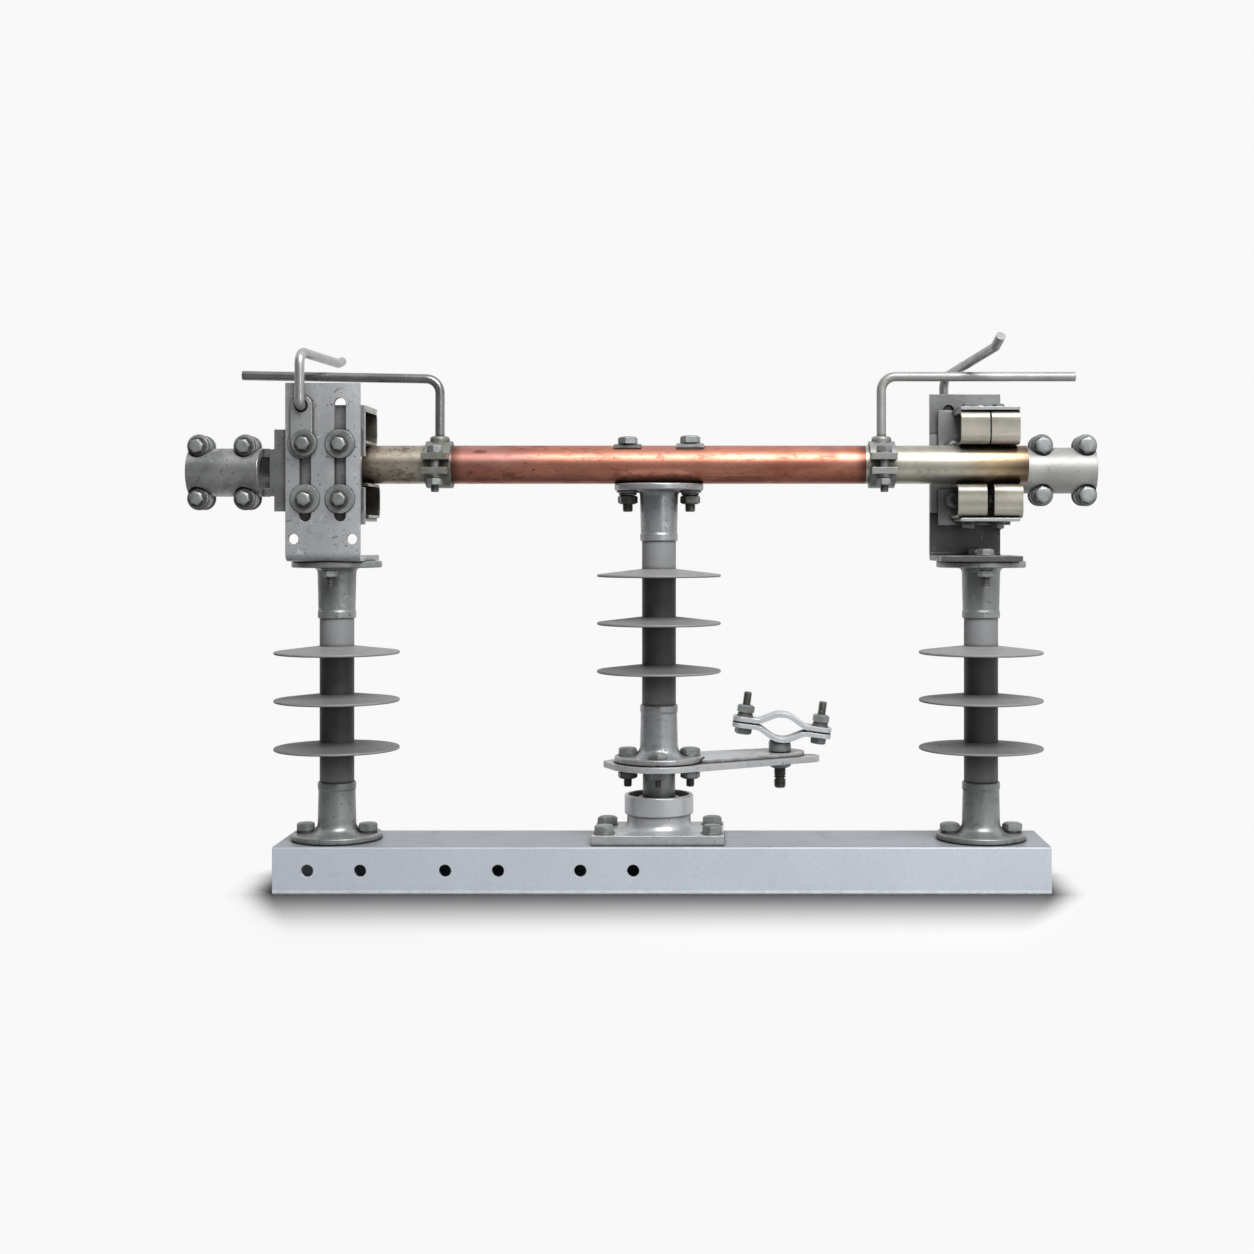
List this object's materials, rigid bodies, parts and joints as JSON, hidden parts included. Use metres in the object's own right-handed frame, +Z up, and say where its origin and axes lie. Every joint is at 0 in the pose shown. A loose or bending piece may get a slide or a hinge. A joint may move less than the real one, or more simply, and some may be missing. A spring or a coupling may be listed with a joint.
{
  "type": "centre-rotating double-break disconnect switch pole",
  "caption": "Pole of a high-voltage disconnect switch: channel beam, polymer post insulators, turning tube blade, sprung jaws, arcing horns, clamps and lever.",
  "frame": {"origin": "on the underside of the beam, below the axis of the turning centre column, at the middle of the overall box", "axes": "+Z up, +X along the beam and the closed blade, -Y the front of the beam with its fixing holes"},
  "size_m": [0.8195, 0.1466, 0.4968],
  "materials": {
    "beam_steel": "satin",
    "bearing_casting": "satin",
    "dark_steel": "satin",
    "galvanised_steel": "satin",
    "bolt_steel": "satin",
    "clamp_steel": "satin",
    "copper": "worn",
    "galvanised_casting": "satin",
    "grey_polymer": "satin",
    "plated_copper": "worn",
    "collar_casting": "satin",
    "horn_rod": "satin",
    "bracket_steel": "satin",
    "shoe_plating": "polished",
    "spring_steel": "satin",
    "terminal_casting": "cast"
  },
  "bodies": {
    "frame": {"base_beam": "beam_steel", "bearing_base": "bearing_casting", "bearing_ring": "bearing_casting", "left_base_fitting": "galvanised_casting", "left_housing": "grey_polymer", "left_top_fitting": "galvanised_casting", "right_base_fitting": "galvanised_casting", "right_housing": "grey_polymer", "right_top_fitting": "galvanised_casting", "left_contact_bracket": "bracket_steel", "left_upper_contact_arm": "galvanised_steel", "left_lower_contact_arm": "galvanised_steel", "left_upper_shoes": "shoe_plating", "left_lower_shoes": "shoe_plating", "left_jaw_bolts": "bolt_steel", "left_jaw_springs": "spring_steel", "left_terminal_tongue": "terminal_casting", "left_terminal_saddle": "terminal_casting", "left_horn_strap": "galvanised_steel", "left_fixed_horn": "horn_rod", "right_contact_bracket": "bracket_steel", "right_upper_contact_arm": "galvanised_steel", "right_lower_contact_arm": "galvanised_steel", "right_upper_shoes": "shoe_plating", "right_lower_shoes": "shoe_plating", "right_jaw_bolts": "bolt_steel", "right_jaw_springs": "spring_steel", "right_terminal_tongue": "terminal_casting", "right_terminal_saddle": "terminal_casting", "right_horn_strap": "galvanised_steel", "right_fixed_horn": "horn_rod"},
    "rotor": {"rotor_shaft": "dark_steel", "lever_plate": "galvanised_steel", "lever_bar": "galvanised_steel", "blade_tube": "copper", "centre_base_fitting": "galvanised_casting", "centre_housing": "grey_polymer", "centre_top_fitting": "galvanised_casting", "left_blade_end": "plated_copper", "left_horn_collar": "collar_casting", "left_moving_horn": "horn_rod", "right_blade_end": "plated_copper", "right_horn_collar": "collar_casting", "right_moving_horn": "horn_rod"},
    "rod_clamp": {"pivot_stud": "bolt_steel", "lower_clamp_strap": "clamp_steel", "upper_clamp_strap": "clamp_steel", "clamp_bolts": "bolt_steel"}
  },
  "joints": [
    {"name": "blade_turn", "type": "hinge", "parent": "frame", "child": "rotor", "pos_m": [0, 0, 0.1], "axis": [0, 0, 1], "range_deg": [-90, 0]},
    {"name": "rod_clamp_swivel", "type": "hinge", "parent": "rotor", "child": "rod_clamp", "pos_m": [0.112, 0.045, 0.11], "axis": [0, 0, 1], "range_deg": [-45, 90]}
  ]
}
